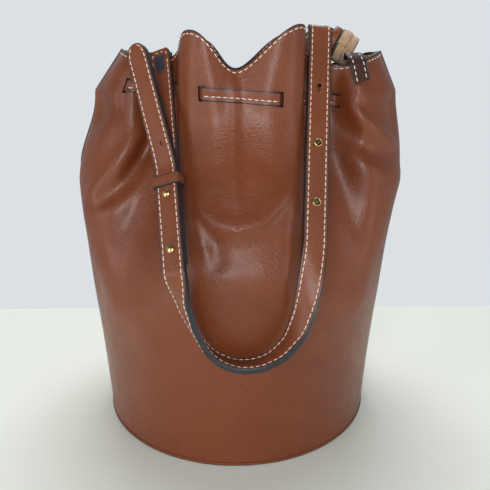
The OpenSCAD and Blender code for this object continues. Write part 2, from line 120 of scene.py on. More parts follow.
def cord_z(k):
    return NECK_Z - CORD_SLOPE * neck_at(k)[..., 0]


def wall_mid(k, z):
    """Outer face of the leather at step k and height z, without its relief."""
    k, z = np.broadcast_arrays(np.asarray(k, float), np.asarray(z, float))
    r = BASE_R + (BELLY_R - BASE_R) * np.clip(z / BELLY_Z, 0, 1) ** 1.2
    turn = k * 2 * np.pi / STEPS
    plain = np.stack([r * np.cos(turn) + NECK_SHIFT * (z / NECK_Z) ** 4,
                      -r * np.sin(turn)], -1)
    start = along(FOLD, k)[..., 0] * NECK_Z
    low = plain + (neck_at(k) - plain) * ease((z - start) / (NECK_Z - start))[..., None]
    up = neck_at(k) + (rim_at(k) - neck_at(k)) * ((z - NECK_Z) / (rim_z(k) - NECK_Z))[..., None]
    return np.where((z > NECK_Z)[..., None], up, low)


# Creases of the leather: points (step, height), height of the ridge or depth
# of the dent, and its width above and below the line, in mm
CREASES = [
    # the hollow in the middle of the front, and the fold round its foot
    ([(9.5, 246), (9.3, 232), (9.0, 222), (8.64, 215), (8.02, 212), (7.42, 217), (6.98, 227),
      (6.58, 242), (6.35, 256)], 3.0, 9, 3.5),
    ([(9.35, 218), (9.1, 208), (8.6, 199), (8.0, 196), (7.4, 200), (6.95, 210), (6.6, 225)],
     -3.6, 8, 17),
    ([(8.12, 338), (8.2, 300), (8.22, 262), (8.16, 235), (8.08, 216)], 2.2, 3.8, 3.8),
    ([(9.1, 300), (9.0, 270), (8.8, 240)], -1.5, 12, 12),
    ([(7.2, 302), (7.3, 275), (7.5, 245)], -1.3, 12, 12),
    ([(9.42, 230), (9.2, 212), (8.95, 196), (8.8, 182)], 2.2, 4, 4),
    ([(8.75, 208), (8.6, 196), (8.5, 178)], -1.8, 8, 8),
    ([(6.5, 256), (6.5, 236), (6.62, 208), (6.74, 180), (6.8, 150)], 2.6, 8, 8),
    ([(6.85, 222), (7.1, 206), (7.15, 186), (7.2, 160)], 2.0, 13, 13),
    ([(6.1, 250), (6.15, 220), (6.3, 190)], -2.2, 8, 8),
    # left shoulder
    ([(15.2, 288), (14.4, 297), (13.5, 302), (12.7, 300)], -6.5, 20, 17),
    ([(15.3, 275), (14.9, 278), (14.4, 284), (13.9, 287)], -1.5, 6, 3.5),
    ([(12.25, 297), (12.55, 273), (13.06, 254), (13.42, 237), (13.85, 223), (14.3, 208)],
     4.8, 10, 13),
    ([(12.05, 276), (12.3, 254), (12.7, 238), (13.1, 226), (13.6, 218)], -3.4, 10, 10),
    ([(11.6, 268), (11.85, 245), (12.12, 229), (12.66, 217), (13.3, 209), (14.4, 204)],
     4.0, 8, 17),
    # right shoulder
    ([(.8, 286), (1.6, 297), (2.4, 307), (3.1, 315)], -6.0, 17, 14),
    ([(3.5, 318), (3.34, 306), (2.92, 296), (2.38, 285), (1.76, 274), (1.1, 267)],
     -1.8, 9, 4),
    ([(3.55, 306), (3.05, 291), (2.45, 278), (1.8, 266), (1.2, 259)], 2.4, 6, 9),
    ([(3.8, 288), (3.3, 271), (2.7, 262), (2.0, 256), (1.2, 252)], -3.4, 11, 11),
    ([(4.1, 282), (3.64, 263), (3.2, 252), (2.6, 244), (1.68, 239), (.9, 238)], 3.6, 8, 17),
    # low on the body
    ([(11.5, 150), (10.8, 120), (10.6, 90)], 1.2, 20, 20),
    ([(4.6, 160), (5.2, 130), (5.4, 95)], 1.1, 22, 22),
]


def crease(k, z, line, height, above, below):
    """Height of one crease at each place."""
    s = k * STEP_MM
    best = np.full(np.shape(s), 1e9)
    side = np.zeros(np.shape(s))
    share = np.zeros(np.shape(s))
    pts = np.array([(a * STEP_MM, b) for a, b in line])
    lens = np.hypot(*(pts[1:] - pts[:-1]).T)
    runs = np.concatenate([[0], np.cumsum(lens)])
    for (p, q), run, n in zip(zip(pts[:-1], pts[1:]), runs, lens):
        d = (q - p) / n
        t = np.clip((s - p[0]) * d[0] + (z - p[1]) * d[1], 0, n)
        away = np.hypot(s - p[0] - t * d[0], z - p[1] - t * d[1])
        near = away < best
        best = np.where(near, away, best)
        side = np.where(near, np.sign((z - p[1] - t * d[1]) + .3 * (s - p[0] - t * d[0])), side)
        share = np.where(near, (run + t) / runs[-1], share)
    width = np.where(side > 0, above, below)
    fade = ease(np.minimum(share, 1 - share) * 3.2 + .12)
    return height * fade * np.exp(-(best / width) ** 2)


def soft_waves(k, z):
    """Slight slackness of the hide."""
    s = k * STEP_MM
    a = (np.sin(s / 21 + z / 47 + 1.1) * np.sin(z / 31 - s / 61 + .6)
         + .5 * np.sin(s / 13.5 - z / 33 + 2.2) * np.sin(z / 19 + s / 41))
    return .36 * a * (.35 + .65 * ease(z / 170))


def relief(k, z):
    """How far the hide stands out from the plain wall, in mm."""
    k, z = np.broadcast_arrays(np.asarray(k, float) % STEPS, np.asarray(z, float))
    total = soft_waves(k, z)
    for line, height, above, below in CREASES:
        total = total + crease(k, z, line, height, above, below)
        mirror = [(STEPS - a - .35, b - 6) for a, b in line]
        total = total + .7 * crease(k, z, mirror, height, above, below)
    for slot in [s for pair in SLOT_PAIRS for s in pair]:
        for shift, up in ((-.42, 1.0), (.42, 1.0), (0, -.8)):
            away = (k - slot - shift) * STEP_MM
            drop = (z - cord_z(k)) / 26
            total = total + .5 * up * np.exp(-(away / 5) ** 2 - drop ** 2)
    seam = np.minimum(np.abs(k - 16), np.minimum(k, STEPS - k))
    return total * ease(seam / .7) * ease((z - PANEL_Z0) / 14)


def wall(k, z, off=0):
    k, z, off = np.broadcast_arrays(*(np.asarray(x, float) for x in (k, z, off)))
    d = wall_mid(k + .05, z) - wall_mid(k - .05, z)
    out = unit(np.stack([-d[..., 1], d[..., 0]], -1))
    flat = wall_mid(k, z) + (off + relief(k, z))[..., None] * out
    return np.concatenate([flat, z[..., None]], -1)


# ------------------------------------------------------------------ meshes

def make(name, points, faces, mats, face_mats=None, body="bag", angle=35):
    """Mesh object from points in mm, turned right side out."""
    points = np.asarray(points, float)
    volume = 0
    for f in faces[:: max(1, len(faces) // 200000)]:
        for i in range(1, len(f) - 1):
            volume += np.dot(points[f[0]], np.cross(points[f[i]], points[f[i + 1]]))
    mesh = bpy.data.meshes.new(name)
    if volume < 0:
        faces = [tuple(reversed(f)) for f in faces]
    mesh.from_pydata((points * .001).tolist(), [], faces)
    for m in mats:
        mesh.materials.append(m)
    if face_mats is not None:
        mesh.polygons.foreach_set("material_index", np.asarray(face_mats, dtype=np.int32))
    mesh.polygons.foreach_set("use_smooth", np.ones(len(mesh.polygons), dtype=bool))
    mesh.update()
    if angle:
        mesh.set_sharp_from_angle(angle=math.radians(angle))
    obj = bpy.data.objects.new(name, mesh)
    bpy.context.scene.collection.objects.link(obj)
    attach(obj, body)
    return obj


def thick_sheet(name, outer, inner, closed, mats, holes=(), edge_rows=0, body="bag"):
    """Closed skin between two grids of points, columns by rows. Material 0 is on
    the outer face, 1 on the edges and 2 on the inner face."""
    cols, rows = outer.shape[:2]
    last = cols if closed else cols - 1
    n = cols * rows
    holes = set(holes)

    def o(i, j):
        return (i % cols) * rows + j

    def full(i, j):
        if not closed and not 0 <= i < last:
            return False
        return 0 <= j < rows - 1 and (i % last, j) not in holes

    faces, kinds = [], []
    for i in range(last):
        for j in range(rows - 1):
            if not full(i, j):
                continue
            a, b, c, d = o(i, j), o(i + 1, j), o(i + 1, j + 1), o(i, j + 1)
            top = j >= rows - 1 - edge_rows
            faces.append((a, b, c, d))
            kinds.append(1 if top else 0)
            faces.append((n + d, n + c, n + b, n + a))
            kinds.append(1 if top else 2)
            for ok, p, q in ((full(i, j - 1), a, b), (full(i, j + 1), c, d),
                             (full(i - 1, j), d, a), (full(i + 1, j), b, c)):
                if not ok:
                    faces.append((q, p, n + p, n + q))
                    kinds.append(1)
    points = np.concatenate([outer.reshape(-1, 3), inner.reshape(-1, 3)])
    return make(name, points, faces, mats, kinds, body)


def rings_mesh(name, rings, seg_mats, mats, closed=False, body="bag", cap_mat=1, angle=35):
    """Skin through rings of points, each ring a closed line."""
    rings = np.asarray(rings, float)
    m, n = rings.shape[:2]
    faces, kinds = [], []
    for r in range(m if closed else m - 1):
        for i in range(n):
            a, b = r * n + i, r * n + (i + 1) % n
            c, d = (r + 1) % m * n + (i + 1) % n, (r + 1) % m * n + i
            faces.append((a, d, c, b))
            kinds.append(seg_mats[i])
    if not closed:
        faces.append(tuple(range(n)))
        faces.append(tuple((m - 1) * n + i for i in reversed(range(n))))
        kinds += [cap_mat, cap_mat]
    return make(name, rings.reshape(-1, 3), faces, mats, kinds, body, angle)


FACE, EDGE = 0, 1


def strap_profile(w, back, front, rows=(), rim=.55, crown=.12):
    """Cross-section of one layer from its back to its front: (across, out), and
    the material of each stretch. rows are where stitching pulls a groove."""
    s = 1 if front > back else -1
    side = [(w, back), (w, front - .5 * s), (w - .16, front - .17 * s), (w - .5, front)]
    face = [(w - rim - .35, front + .02 * s)]
    for g in sorted(rows, reverse=True):
        face += [(g + 1.1, front + .5 * crown * s), (g + .45, front - .14 * s),
                 (g - .45, front - .14 * s), (g - 1.1, front + .5 * crown * s)]
    face += [(-w + rim + .35, front + .02 * s)]
    if not rows or len(rows) > 1:
        face.insert(1 + len(face) // 2 - 1, (0, front + crown * s))
    pts = side + face + [(-x, y) for x, y in reversed(side)]
    kinds = [EDGE] * 4 + [FACE] * (len(face) - 1) + [EDGE] * 4 + [EDGE]
    return pts, kinds


def ribbon(name, mid, across, out, profile, mats, closed=False, body="bag",
           width=None, depth=None):
    """A strap along a line of points."""
    pts, kinds = profile
    u = np.array([p[0] for p in pts])
    v = np.array([p[1] for p in pts])
    n = len(mid)
    width = np.ones(n) if width is None else width
    depth = np.ones(n) if depth is None else depth
    rings = (mid[:, None] + across[:, None] * (u[None, :, None] * width[:, None, None])
             + out[:, None] * (v[None, :, None] * depth[:, None, None]))
    return rings_mesh(name, rings, kinds, mats, closed, body)


def smooth_line(points, per=8):
    """Curve through points, with this many pieces between neighbours."""
    p = np.asarray(points, float)
    q = np.concatenate([2 * p[:1] - p[1:2], p, 2 * p[-1:] - p[-2:-1]])
    got = [spline(q[i], q[i + 1], q[i + 2], q[i + 3], t)
           for i in range(len(p) - 1) for t in np.arange(per) / per]
    return np.array(got + [p[-1]])


def tangents(p, closed=False):
    if closed:
        return unit(np.roll(p, -1, 0) - np.roll(p, 1, 0))
    return unit(np.gradient(p, axis=0))


def run_of(p):
    return np.concatenate([[0], np.cumsum(np.linalg.norm(np.diff(p, axis=0), axis=1))])


THREADS = {}


def stitches(group, path, out, pitch=STITCH_PITCH, length=STITCH_LEN, r=THREAD_R, lift=.1):
    """A row of separate stitches along a path that lies on leather."""
    path, out = np.asarray(path, float), np.asarray(out, float)
    run = run_of(path)
    count = max(1, int(run[-1] / pitch))
    start = (run[-1] - count * pitch) / 2
    verts, faces = THREADS.setdefault(group, ([], []))
    sides, marks = 6, (-1, -.9, -.55, 0, .55, .9, 1)
    for i in range(count):
        mid = start + (i + .5) * pitch
        skew = rng.normal(0, .05)
        s = np.array([mid + m * length / 2 for m in marks])
        c = np.stack([np.interp(s, run, path[:, j]) for j in range(3)], -1)
        nrm = unit(np.array([np.interp(mid, run, out[:, j]) for j in range(3)]))
        t = unit(c[-1] - c[0])
        b = np.cross(t, nrm)
        base = len(verts)
        for m, p in zip(marks, c):
            rad = r * math.sqrt(max(.02, 1 - abs(m) ** 5))
            h = lift - .55 * abs(m) ** 4
            for a in range(sides):
                ang = 2 * math.pi * a / sides
                verts.append(p + b * (rad * 1.15 * math.cos(ang) + skew * m * length / 2)
                             + nrm * (h + rad * .9 * math.sin(ang)))
        for q in range(len(marks) - 1):
            for a in range(sides):
                a0, a1 = base + q * sides + a, base + q * sides + (a + 1) % sides
                faces.append((a0, a1, a1 + sides, a0 + sides))
        faces.append(tuple(base + a for a in reversed(range(sides))))
        faces.append(tuple(base + (len(marks) - 1) * sides + a for a in range(sides)))


# --------------------------------------------------------------- materials

def srgb(r, g, b):
    """Linear colour from 8-bit sRGB values."""
    c = [x / 255 for x in (r, g, b)]
    return tuple(x / 12.92 if x <= .04045 else ((x + .055) / 1.055) ** 2.4 for x in c) + (1,)


class Mat:
    """A Principled material with short ways to add procedural detail."""

    def __init__(self, name, color, rough=.5, metal=0):
        self.m = bpy.data.materials.new(name)
        self.m.use_nodes = True
        self.t = self.m.node_tree
        self.b = self.t.nodes["Principled BSDF"]
        self.b.inputs["Base Color"].default_value = color
        self.b.inputs["Roughness"].default_value = rough
        self.b.inputs["Metallic"].default_value = metal
        self.color = color
        self.rough = rough
        self.where = self.t.nodes.new("ShaderNodeTexCoord").outputs["Object"]
        self.normal = None

    def set(self, **values):
        for k, v in values.items():
            self.b.inputs[k.replace("_", " ")].default_value = v
        return self

    def noise(self, scale, detail=3, rough=.55, stretch=None):
        n = self.t.nodes.new("ShaderNodeTexNoise")
        n.inputs["Scale"].default_value = scale
        n.inputs["Detail"].default_value = detail
        n.inputs["Roughness"].default_value = rough
        self.t.links.new(self.stretched(stretch), n.inputs["Vector"])
        return n.outputs["Fac"]

    def stretched(self, stretch):
        if stretch is None:
            return self.where
        m = self.t.nodes.new("ShaderNodeMapping")
        m.inputs["Scale"].default_value = stretch
        self.t.links.new(self.where, m.inputs["Vector"])
        return m.outputs["Vector"]

    def cells(self, scale, feature="F1", stretch=None):
        n = self.t.nodes.new("ShaderNodeTexVoronoi")
        n.feature = feature
        n.inputs["Scale"].default_value = scale
        self.t.links.new(self.stretched(stretch), n.inputs["Vector"])
        return n.outputs["Distance"]

    def remap(self, value, a, b, lo, hi):
        n = self.t.nodes.new("ShaderNodeMapRange")
        for key, v in (("From Min", a), ("From Max", b), ("To Min", lo), ("To Max", hi)):
            n.inputs[key].default_value = v
        self.t.links.new(value, n.inputs["Value"])
        return n.outputs["Result"]

    def tint(self, value, other, a=.35, b=.65, lo=0, hi=1):
        """Goes from the colour so far to another as value goes from a to b."""
        n = self.t.nodes.new("ShaderNodeMix")
        n.data_type = "RGBA"
        sock = self.b.inputs["Base Color"]
        if sock.is_linked:
            self.t.links.new(sock.links[0].from_socket, n.inputs[6])
        else:
            n.inputs[6].default_value = self.color
        n.inputs[7].default_value = other
        self.t.links.new(self.remap(value, a, b, lo, hi), n.inputs[0])
        self.t.links.new(n.outputs[2], sock)
        return self

    def gloss(self, value, a, b, lo, hi):
        self.t.links.new(self.remap(value, a, b, lo, hi), self.b.inputs["Roughness"])
        return self

    def bump(self, value, height, strength=1):
        """height is in metres for a value from 0 to 1."""
        n = self.t.nodes.new("ShaderNodeBump")
        n.inputs["Distance"].default_value = height
        n.inputs["Strength"].default_value = strength
        self.t.links.new(value, n.inputs["Height"])
        if self.normal is not None:
            self.t.links.new(self.normal, n.inputs["Normal"])
        self.normal = n.outputs["Normal"]
        self.t.links.new(self.normal, self.b.inputs["Normal"])
        return self


def leather(name, color, dark, light, rough=.40, grain=1.6):
    m = Mat(name, color, rough)
    m.tint(m.noise(9, 3), dark, .42, .70, 0, .5)
    m.tint(m.noise(17, 4), light, .48, .75, 0, .45)
    m.tint(m.noise(420, 3), dark, .45, .75, 0, .25)
    m.gloss(m.noise(60, 4), .3, .7, rough - .05, rough + .07)
    m.bump(m.cells(620, "SMOOTH_F1"), .00012 * grain)
    m.bump(m.noise(1500, 4), .00008 * grain)
    m.bump(m.noise(130, 4), .00020 * grain)
    m.set(Coat_Weight=.08, Coat_Roughness=.25, Specular_IOR_Level=.4)
    return m.m


BODY = leather("body_brown", srgb(118, 58, 28), srgb(86, 40, 19), srgb(131, 70, 38))
STRAP = leather("strap_brown", srgb(123, 64, 36), srgb(92, 46, 26), srgb(135, 76, 46), .42, 1.1)

m = Mat("edge_paint", srgb(34, 33, 38), .38)
m.tint(m.noise(300, 3), srgb(52, 50, 55), .45, .7, 0, .6)
m.bump(m.noise(900, 3), .00012)
EDGES = m.m

m = Mat("dark_edge_leather", srgb(58, 38, 32), .55)
m.tint(m.noise(200, 3), srgb(38, 28, 26), .4, .7)
m.bump(m.noise(700, 4), .0002)
DARK = m.m

# Tail leather: the strap leather darkened to about half its brightness, painted shade for the hanging
# tail that sits in shadow
m = Mat("tail_leather_painted_shade", srgb(58, 32, 23), .6)
m.set(Specular_IOR_Level=.2)
m.tint(m.noise(60, 3), srgb(30, 20, 17), .4, .7)
m.bump(m.cells(620, "SMOOTH_F1"), .00014)
TAIL_PAINTED_SHADE = m.m

m = Mat("lining_cloth", srgb(96, 86, 76), .9)
m.tint(m.noise(1400, 2, .5, (1, 1, .25)), srgb(70, 62, 55), .35, .65)
m.tint(m.noise(1400, 2, .5, (.25, .25, 1)), srgb(120, 109, 97), .4, .7, 0, .7)
m.bump(m.noise(1400, 2, .5, (1, 1, .25)), .0003)
m.set(Sheen_Weight=.2)
LINING = m.m

m = Mat("base_board_fibre", srgb(150, 124, 92), .85)
m.tint(m.noise(500, 3), srgb(120, 98, 70), .4, .7)
m.bump(m.noise(800, 3), .0002)
BOARD = m.m

m = Mat("tan_suede", srgb(186, 150, 118), .95)
m.tint(m.noise(240, 4), srgb(150, 116, 88), .42, .66)
m.tint(m.noise(60, 3), srgb(205, 172, 140), .45, .7, 0, .7)
m.bump(m.noise(1700, 4), .0005)
m.bump(m.noise(300, 4), .0006)
m.set(Sheen_Weight=.35, Sheen_Roughness=.6, Specular_IOR_Level=.2)
SUEDE = m.m

m = Mat("navy_leather", srgb(48, 54, 68), .5)
m.tint(m.noise(200, 3), srgb(36, 41, 52), .4, .7)
m.bump(m.cells(700, "SMOOTH_F1"), .00014)
NAVY = m.m

m = Mat("pale_brass", srgb(214, 184, 128), .22, 1)
m.tint(m.noise(400, 3), srgb(190, 156, 100), .45, .7, 0, .5)
m.gloss(m.noise(700, 3), .3, .7, .17, .3)
BRASS = m.m

m = Mat("cream_thread", srgb(232, 222, 206), .75)
m.tint(m.noise(900, 2), srgb(206, 192, 172), .45, .7, 0, .6)
m.bump(m.noise(2500, 2), .0002)
THREAD = m.m


# ------------------------------------------------------------ body of the bag

SLOTS = [s for pair in SLOT_PAIRS for s in pair]
SLOT_HALF = SLOT_W / 2 / 27
seam_steps = (3.2 / 2 + GAP) / 16


def columns(a, b, pace=.1):
    """Steps from a to b, with a column at each edge of each slot."""
    marks = [a] + [s + e for s in SLOTS if a < s < b for e in (-SLOT_HALF, SLOT_HALF)] + [b]
    got = []
    for p, q in zip(marks[:-1], marks[1:]):
        n = max(2, round((q - p) / pace))
        got += list(p + (q - p) * np.arange(n) / n)
    return np.array(got + [b])


def lining_rows(k, n=96):
    top = cord_z(k) - FACING_DROP
    f = np.linspace(0, 1, n + 1)
    return PANEL_Z0 + (top - PANEL_Z0)[:, None] * f


FACING_PARTS = ((8, None), (4, None), (16, None))
SLOT_ROWS = range(8, 12)


def facing_rows(k):
    z = cord_z(k)[:, None]
    rim = rim_z(k)[:, None]
    return np.concatenate([
        z - FACING_DROP + (FACING_DROP - SLOT_H / 2) * np.arange(8) / 8,
        z - SLOT_H / 2 + SLOT_H * np.arange(4) / 4,
        z + SLOT_H / 2 + (rim - .9 - z - SLOT_H / 2) * np.arange(16) / 15,
        rim], axis=1)


def slot_cells(ks, first_row):
    mid = (ks[:-1] + ks[1:]) / 2
    return [(i, first_row + j) for i, c in enumerate(mid) for j in SLOT_ROWS
            if min(abs(c - s) for s in SLOTS) < SLOT_HALF]


def grid(ks, rows, off):
    return wall(ks[:, None], rows, off)


front_ks = columns(seam_steps, 16 - seam_steps)
back_ks = columns(16 + seam_steps, 32 - seam_steps)
for name, ks in (("front_leather", front_ks), ("back_leather", back_ks)):
    rows = np.concatenate([lining_rows(ks), facing_rows(ks)[:, 1:]], axis=1)
    off = np.zeros(rows.shape)
    off[:, -1] = -.35
    thick_sheet(
        name, grid(ks, rows, off), grid(ks, rows, -LEATHER_T), False,
        [BODY, EDGES, DARK], slot_cells(ks, 96), edge_rows=1)
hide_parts("front_panel")
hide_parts("back_panel")

all_ks = np.concatenate([front_ks, back_ks])
rows = facing_rows(all_ks)
cells = [c for c in slot_cells(np.append(all_ks, 32 + seam_steps), 0)]
facing = thick_sheet("mouth_facing_leather", grid(all_ks, rows, -LEATHER_T - GAP),
                     grid(all_ks, rows, -LEATHER_T - GAP - FACING_T), True,
                     [DARK, EDGES, BODY], cells, edge_rows=1)
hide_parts("mouth_facing")

rows = lining_rows(all_ks, 60)
rows[:, -1] -= GAP
lining = thick_sheet("body_lining_cloth", grid(all_ks, rows, -LEATHER_T - .35),
                     grid(all_ks, rows, -LEATHER_T - .35 - LINING_T), True,
                     [LINING, LINING, LINING])
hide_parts("body_lining")

# Raised side seams: the two panel edges side by side, with painted edges
for name, node, k, side in (("right_seam", "right_side_seam", 0, 1),
                            ("left_seam", "left_side_seam", 16, -1)):
    kk = np.full(1, float(k))
    z = np.concatenate([lining_rows(kk)[0], facing_rows(kk)[0][1:]])
    x = wall_mid(np.full(z.shape, float(k)), z)[:, 0]
    mid = np.stack([x, np.zeros_like(x), z], -1)
    n = len(z)
    t = tangents(mid)
    across = np.tile([0, 1.0, 0], (n, 1))
    out = unit(np.cross(across, t)) * side
    out *= np.where(out[:, :1] * side > 0, 1, -1)
    prof = ([(1.6, -.8), (1.6, 1.9), (1.5, 2.5), (1.2, 2.85), (.8, 3.0), (.35, 2.85), (0, 2.5),
             (-.35, 2.85), (-.8, 3.0), (-1.2, 2.85), (-1.5, 2.5), (-1.6, 1.9), (-1.6, -.8)],
            [FACE] + [EDGE] * 10 + [FACE, FACE])
    seam = ribbon(name, mid, across, out, prof, [BODY, EDGES])
    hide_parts(node)

# Base
turns = np.linspace(0, 2 * np.pi, 145)[:-1]
ring_dir = np.stack([np.cos(turns), np.sin(turns), np.zeros_like(turns)], -1)
up = np.tile([0, 0, 1.0], (len(turns), 1))
welt_out = BASE_R + .8
# The lower round of the welt takes the dark edge paint: this dark band is partly edge paint and partly
# painted contact shadow along the base
prof = ([(0, 0), (-.9, 0), (-.25, .25), (0, .9), (0, 2.1), (-.25, 2.75), (-.9, 3), (-WELT_W + .3, 3),
         (-WELT_W, 2.6), (-WELT_W, .3)][1:], [EDGE, EDGE] + [FACE] * 5 + [EDGE, EDGE])
rings = np.zeros((len(turns), 9, 3))
for j, (u, v) in enumerate(prof[0]):
    rings[:, j] = ring_dir * (welt_out + u) + up * v
welt = rings_mesh("base_welt_piping", rings, prof[1], [BODY, EDGES], closed=True)
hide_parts("base_welt")

base_in = welt_out - WELT_W - GAP
radii = [(0, 0), (base_in - .6, 0), (base_in - .15, .18), (base_in, .6), (base_in, 2.2), (0, 2.2)]
pts, faces = [], []
for r, z in radii[1:5]:
    pts += [(r * c, r * s, z) for c, s in ring_dir[:, :2]]
n = len(turns)
for j in range(3):
    faces += [(j * n + i, j * n + (i + 1) % n, (j + 1) * n + (i + 1) % n, (j + 1) * n + i)
              for i in range(n)]
faces += [tuple(reversed(range(n))), tuple(3 * n + i for i in range(n))]
base = make("base_leather", pts, faces, [BODY], angle=50)
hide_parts("base_panel")

# Stitched rim, outside and inside
for ks in (front_ks, back_ks):
    fine = np.linspace(ks[0] + .06, ks[-1] - .06, 700)
    for off, sgn in ((0, 1), (-LEATHER_T - GAP - FACING_T, -1)):
        p = wall(fine, rim_z(fine) - 2.8, off)
        q = wall(fine, rim_z(fine) - 2.8, off + sgn)
        stitches("rim_stitches", p, unit(q - p), length=4.1, lift=.05)

# ----------------------------------------------------------------- drawstring

CORD_OUT = CORD_T / 2 + .3
CORD_IN = LEATHER_T + GAP + FACING_T + CORD_T / 2 + .3
PASS = .075


def cord_off(k):
    """Stand-off of the drawstring from the leather's face."""
    k = np.asarray(k, float) % STEPS
    out = np.zeros(k.shape)
    for a, b in SLOT_PAIRS:
        out = np.maximum(out, ease((k - a + PASS) / (2 * PASS)) * ease((b + PASS - k) / (2 * PASS)))
    return -CORD_IN + (CORD_OUT + CORD_IN) * out


def cord_at(k, up, off):
    z = cord_z(k)
    lo, hi = wall(k, z - SLOT_H / 2, off), wall(k, z + SLOT_H / 2, off)
    return lo + (hi - lo) * (.5 + up / SLOT_H)


ks = np.unique(np.round(np.concatenate(
    [np.arange(0, 32, .1)] + [s + np.linspace(-.16, .16, 17) for s in SLOTS]), 3))
ks = ks[np.concatenate([[True], np.diff(ks) > .012])]
off = cord_off(ks)
mid = cord_at(ks, 0, off)
across = unit(cord_at(ks, 4, off) - cord_at(ks, -4, off))
t = tangents(mid, closed=True)
out = unit(np.cross(across, t))
plain_out = wall(ks, cord_z(ks), 1.0) - wall(ks, cord_z(ks), 0.0)
out *= np.where((out * plain_out).sum(1, keepdims=True) > 0, 1, -1)
h, w = CORD_T / 2, CORD_W / 2
prof = ([(w, -h + .3), (w, h - .3), (w - .3, h), (w - .95, h), (-.9, h + .05), (-1.35, h - .12),
         (-1.85, h - .12), (-2.3, h + .05), (-w + .95, h), (-w + .3, h), (-w, h - .3),
         (-w, -h + .3), (-w + .3, -h), (-w + .95, -h), (w - .95, -h), (w - .3, -h)],
        [EDGE, EDGE, EDGE, FACE, FACE, FACE, FACE, FACE, EDGE, EDGE, EDGE, EDGE, EDGE, FACE,
         EDGE, EDGE])
cord_body = ribbon("drawstring_leather", mid, across, out, prof, [BODY, EDGES], closed=True)
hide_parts("drawstring")
p = mid - across * 1.6 + out * h
for a, b in SLOT_PAIRS:
    sel = (ks > a + .07) & (ks < b - .07)
    stitches("drawstring_stitches", p[sel], out[sel], length=4.1, lift=.05)

# --------------------------------------------------------------------- strap

strap_half = LAYER_T + GAP / 2
stack = strap_half + .3 + CHAPE_T / 2
left_pivot, right_pivot = np.array([-62.8, -44.3, 341]), np.array([69.12, -44.3, 360])
left_down = unit([.100074, -.567493, -.817274])
right_down = unit([-.0529096, -.463823, -.884347])
left_turn, right_turn = 20, 188


def face_dir(t, a):
    f = np.array([0, -1.0, 0])
    a = np.radians(a)
    v = unit(f - (t @ f)[..., None] * t) if t.ndim > 1 else unit(f - (t @ f) * t)
    if t.ndim > 1:
        return v * np.cos(a)[:, None] + np.cross(t, v) * np.sin(a)[:, None]
    return v * math.cos(a) + np.cross(t, v) * math.sin(a)


left_face = face_dir(left_down, left_turn)
right_face = face_dir(-right_down, right_turn)
left_side = np.cross(left_face, left_down)
right_side = np.cross(right_face, right_down)


def on_left(d, off=0.0):
    return left_pivot + left_down * d + left_face * off


def on_right(d, off=0.0):
    return right_pivot + right_down * d + right_face * off


keeper_d, keeper_w, keeper_t = 119, 9, 1.6
left_studs = [keeper_d + keeper_w / 2 + 6, keeper_d + keeper_w / 2 + 50]
left_hole = left_studs[0] - 44
right_hole = 53
right_studs = [101, 149]
free_d, arm_end = 107, 192
tip_at = left_pivot + [-17, -18, 4]
loop_a, loop_b = on_left(arm_end, stack), on_right(arm_end - 12)
loop_y, loop_z = -149.1, 107
LOOP = [(.05, .66, .55, 58), (.13, .36, .85, 72), (.235, .135, 1, 80), (.37, .025, 1, 84),
        (.51, 0, 1, 87), (.66, .05, 1, 93), (.80, .19, 1, 108), (.90, .41, .9, 136),
        (.96, .70, .6, 166)]
stops = [(tip_at + (on_left(free_d - 5, stack + .8) - tip_at) * f, left_turn)
         for f in (0, .35, .7, .97)]
stops += [(on_left(d, stack), left_turn) for d in (free_d, keeper_d + 8, left_studs[1], arm_end)]
stops += [(np.array([loop_a[0] + (loop_b[0] - loop_a[0]) * s,
                     loop_a[1] + (loop_b[1] - loop_a[1]) * s
                     + (loop_y - loop_a[1] - (loop_b[1] - loop_a[1]) * s) * fwd,
                     loop_z + (loop_a[2] + (loop_b[2] - loop_a[2]) * s - loop_z) * h]), turn)
          for s, h, fwd, turn in LOOP]
stops += [(on_right(d), right_turn) for d in (arm_end - 12, right_studs[1] - 4, 60, 3.5)]

line, turn = [], []
for i in range(len(stops) - 1):
    a, b, c, d = (stops[min(max(j, 0), len(stops) - 1)] for j in (i - 1, i, i + 1, i + 2))
    curved = 6 < i < len(stops) - 4
    n = max(3, int(np.linalg.norm(c[0] - b[0]) / 2.2))
    if i == 0:
        n = 40
    for t in np.arange(n) / n:
        line.append(spline(a[0], b[0], c[0], d[0], t) if curved else b[0] + (c[0] - b[0]) * t)
        turn.append(b[1] + (c[1] - b[1]) * ease(t))
line = line + [stops[-1][0]]
turn = turn + [stops[-1][1]]
fold_r = strap_half + .35
for a in np.radians(np.linspace(0, 118, 15)[1:]):
    line.append(on_right(3.5) + right_face * fold_r * (1 - math.cos(a))
                - right_down * fold_r * math.sin(a))
    turn.append(right_turn)
fold_from = len(line) - 14
line, turn = np.array(line), np.array(turn, float)
t = tangents(line)
for _ in range(3):
    t[1:fold_from] = unit(t[:fold_from - 1] + 2 * t[1:fold_from] + t[2:fold_from + 1])
faces_out = face_dir(t, turn)
across = np.cross(t, faces_out)
across[fold_from:] = np.cross(-right_down, right_face)
faces_out[fold_from:] = np.cross(across[fold_from:], t[fold_from:])
run = run_of(line)
half = STRAP_W / 2
tip_len = 13.0
tip_width = np.where(run < tip_len, np.sqrt(1 - (1 - np.clip(run / tip_len, 0, 1)) ** 2) * .86 + .14, 1)
row_u = half - 2.7
lay = {
    "strap_face": ("strap_face_layer", strap_profile(half, GAP / 4, strap_half, (row_u, -row_u))),
    "strap_back": ("strap_back_layer", strap_profile(half, -GAP / 4, -strap_half, (row_u, -row_u))),
}


